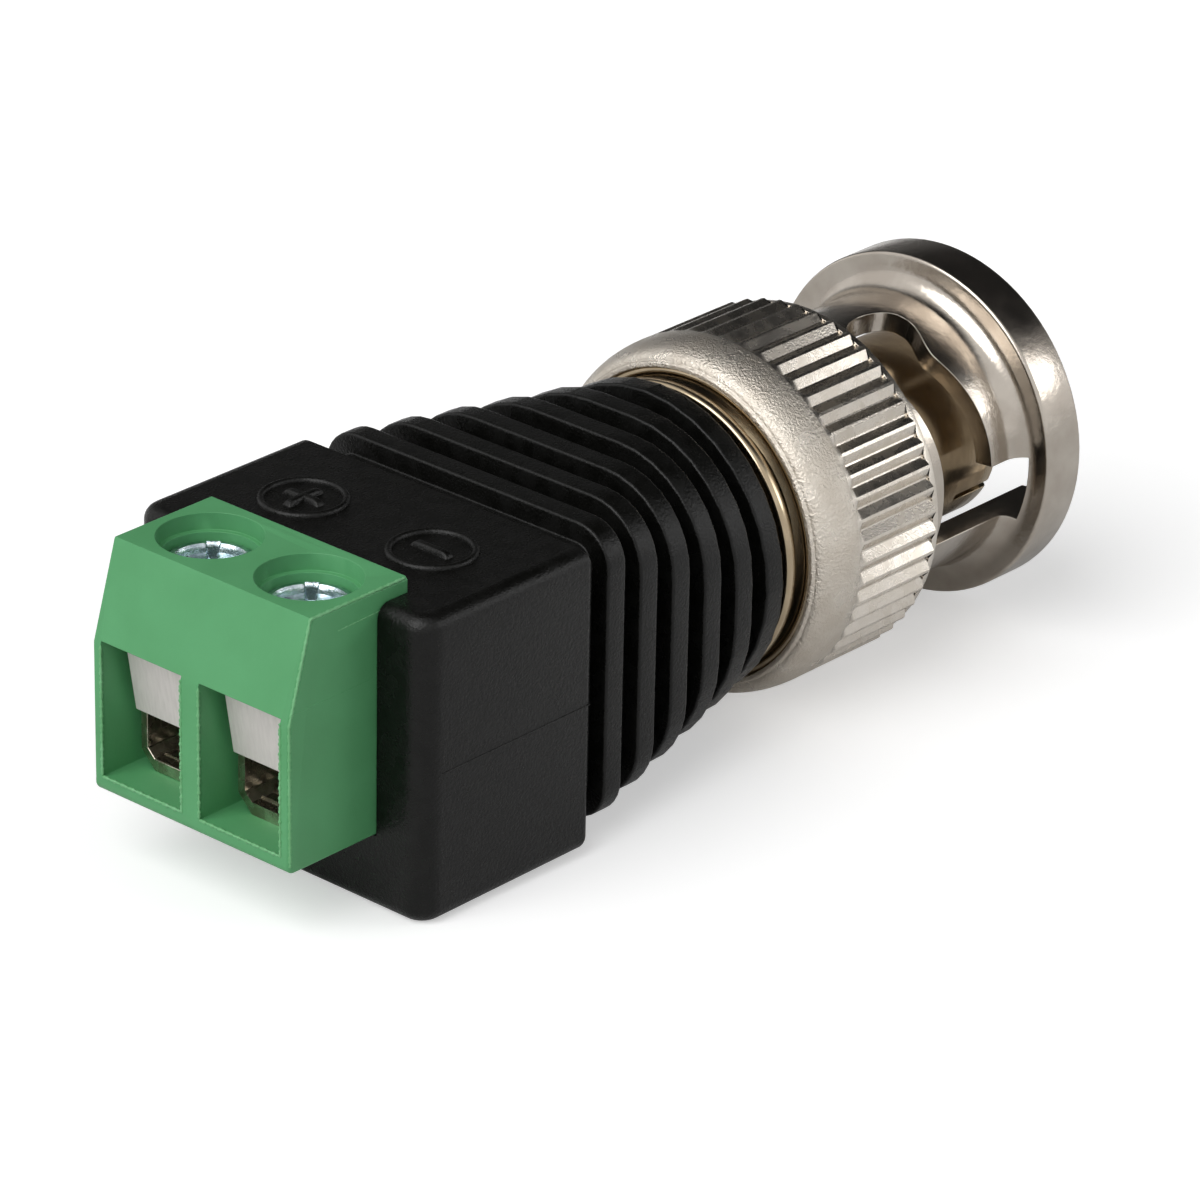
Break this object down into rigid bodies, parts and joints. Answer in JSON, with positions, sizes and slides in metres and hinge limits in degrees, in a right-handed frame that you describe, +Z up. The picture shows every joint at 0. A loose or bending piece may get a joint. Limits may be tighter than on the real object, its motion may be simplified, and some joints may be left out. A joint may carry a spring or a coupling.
{
  "type": "bnc screw terminal adapter",
  "caption": "Bayonet coaxial plug moulded to a screw terminal block, so bare wires can be joined to a coaxial jack without solder.",
  "frame": {"origin": "on the plug's axis, in the mating plane at the front end of the outer contact", "axes": "+X out of the plug along its axis, +Y towards the positive pole, +Z up, away from the face it rests on"},
  "size_m": [0.0432, 0.015, 0.0146],
  "materials": {
    "black_moulding": "satin, fine grained, moulded",
    "green_moulding": "satin, moulded",
    "nickel": "nickel plated, fine cast texture",
    "spring_steel": "bright rolled",
    "gold": "gold plated",
    "white_insulator": "waxy white",
    "seal_rubber": "matte",
    "zinc_screw": "bluish bright zinc plate",
    "clamp_nickel": "plated, pressed",
    "guard_steel": "fine brushed, pale",
    "tinned_wire": "tinned, solid"
  },
  "bodies": {
    "adapter": {"body_moulding": "black_moulding", "terminal_housing": "green_moulding", "clamp_cage_positive": "clamp_nickel", "clamp_cage_negative": "clamp_nickel", "plug_body": "nickel", "front_insulator": "white_insulator", "rear_insulator": "white_insulator", "centre_pin": "gold", "wave_spring": "spring_steel", "sealing_gasket": "seal_rubber", "signal_link": "tinned_wire", "return_link": "tinned_wire"},
    "spring_washer": {"thrust_washer": "nickel"},
    "nut": {"bayonet_nut": "nickel", "retaining_ring": "nickel"},
    "guard_positive": {"wire_guard_positive": "guard_steel"},
    "screw_positive": {"clamp_screw_positive": "zinc_screw"},
    "guard_negative": {"wire_guard_negative": "guard_steel"},
    "screw_negative": {"clamp_screw_negative": "zinc_screw"}
  },
  "joints": [
    {"name": "nut_travel", "type": "slide", "parent": "adapter", "child": "spring_washer", "axis": [1, 0, 0], "range_m": [0, 0.0012], "stiffness_N_per_m": 3000, "springref_m": -0.001, "deforming": ["wave_spring"]},
    {"name": "nut_turn", "type": "hinge", "parent": "spring_washer", "child": "nut", "pos_m": [0, 0, 0], "axis": [1, 0, 0], "continuous": true},
    {"name": "guard_slide_positive", "type": "slide", "parent": "adapter", "child": "guard_positive", "axis": [0, 0, -1], "range_m": [-0.00035, 0.0018]},
    {"name": "screw_turn_positive", "type": "hinge", "parent": "guard_positive", "child": "screw_positive", "pos_m": [-0.03825, 0.00254, 0], "axis": [0, 0, -1], "range_deg": [-280, 1440]},
    {"name": "guard_slide_negative", "type": "slide", "parent": "adapter", "child": "guard_negative", "axis": [0, 0, -1], "range_m": [-0.00035, 0.0018]},
    {"name": "screw_turn_negative", "type": "hinge", "parent": "guard_negative", "child": "screw_negative", "pos_m": [-0.03825, -0.00254, 0], "axis": [0, 0, -1], "range_deg": [-280, 1440]}
  ],
  "couplings": [
    {"joint": "screw_turn_positive", "follows": "guard_slide_positive", "rad_per_m": 13962},
    {"joint": "screw_turn_negative", "follows": "guard_slide_negative", "rad_per_m": 13962}
  ]
}
